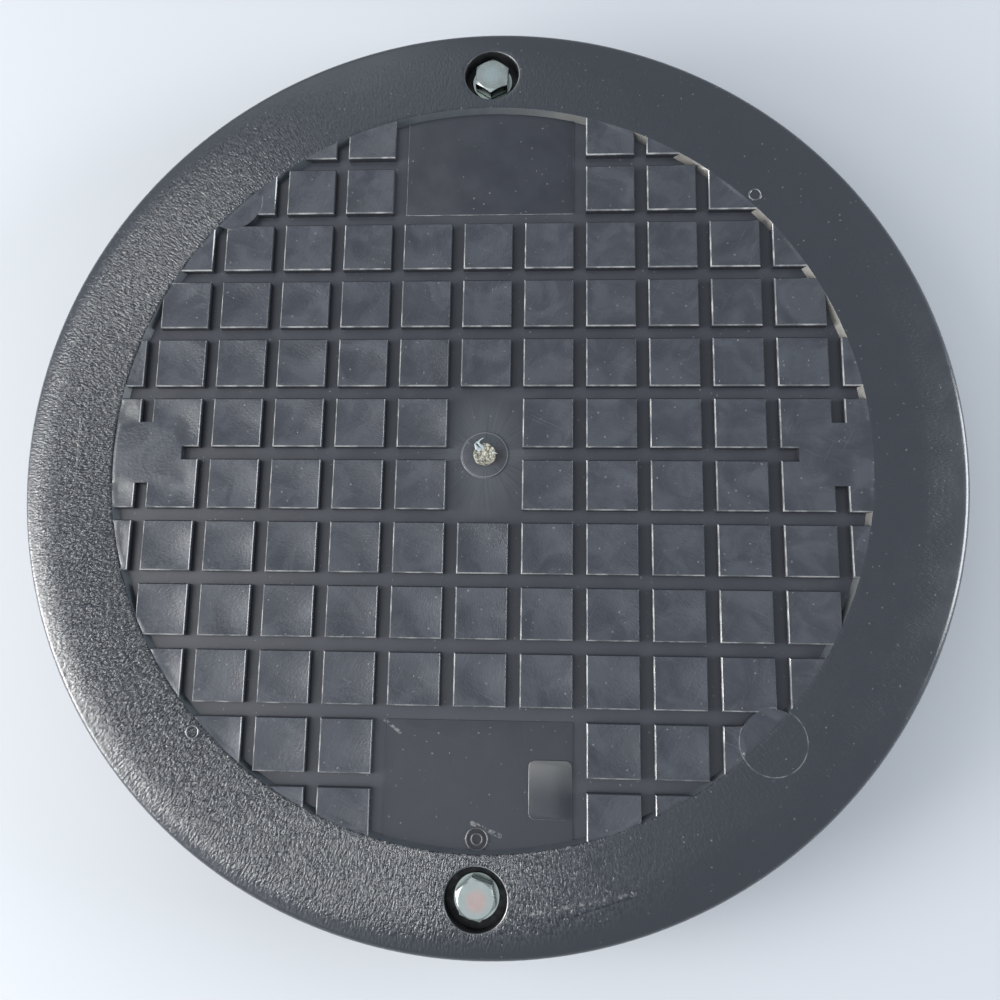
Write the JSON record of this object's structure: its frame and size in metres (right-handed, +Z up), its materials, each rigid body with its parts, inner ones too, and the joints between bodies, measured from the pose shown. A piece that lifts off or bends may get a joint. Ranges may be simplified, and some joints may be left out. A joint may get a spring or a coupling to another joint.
{
  "type": "bolt-down manhole cover",
  "caption": "Round black plastic drain shaft cover with a chequered tread, plain grained rim, ribbed underside, locating collar and bolted swing catches.",
  "frame": {"origin": "centre of the collar's lower edge, on the surface that the cover rests on", "axes": "+Z up through the tread, +Y towards lock 1, +X to the right with the bare maker's panel at the top"},
  "size_m": [0.36, 0.36, 0.0422],
  "materials": {
    "moulding": "injection-moulded black polypropylene, smooth tread, leather-grained rim",
    "zinc_steel": "bright zinc plate",
    "catch_plastic": "injection-moulded black glass-filled nylon"
  },
  "bodies": {
    "cover": {"cover": "moulding"},
    "bolt_1": {"lock_bolt_1": "zinc_steel", "washer_1": "zinc_steel"},
    "bolt_2": {"lock_bolt_2": "zinc_steel", "washer_2": "zinc_steel"},
    "catch_1": {"swing_catch_1": "catch_plastic", "lock_nut_1": "zinc_steel"},
    "catch_2": {"swing_catch_2": "catch_plastic", "lock_nut_2": "zinc_steel"}
  },
  "joints": [
    {"name": "lock_turn_1", "type": "hinge", "parent": "cover", "child": "bolt_1", "pos_m": [0, 0.159, 0.0348], "axis": [0, 0, -1], "range_deg": [0, 90]},
    {"name": "catch_climb_1", "type": "slide", "parent": "bolt_1", "child": "catch_1", "axis": [0, 0, 1], "range_m": [0, 0.0115]},
    {"name": "lock_turn_2", "type": "hinge", "parent": "cover", "child": "bolt_2", "pos_m": [0, -0.159, 0.0348], "axis": [0, 0, -1], "range_deg": [0, 90]},
    {"name": "catch_climb_2", "type": "slide", "parent": "bolt_2", "child": "catch_2", "axis": [0, 0, 1], "range_m": [0, 0.0115]}
  ]
}
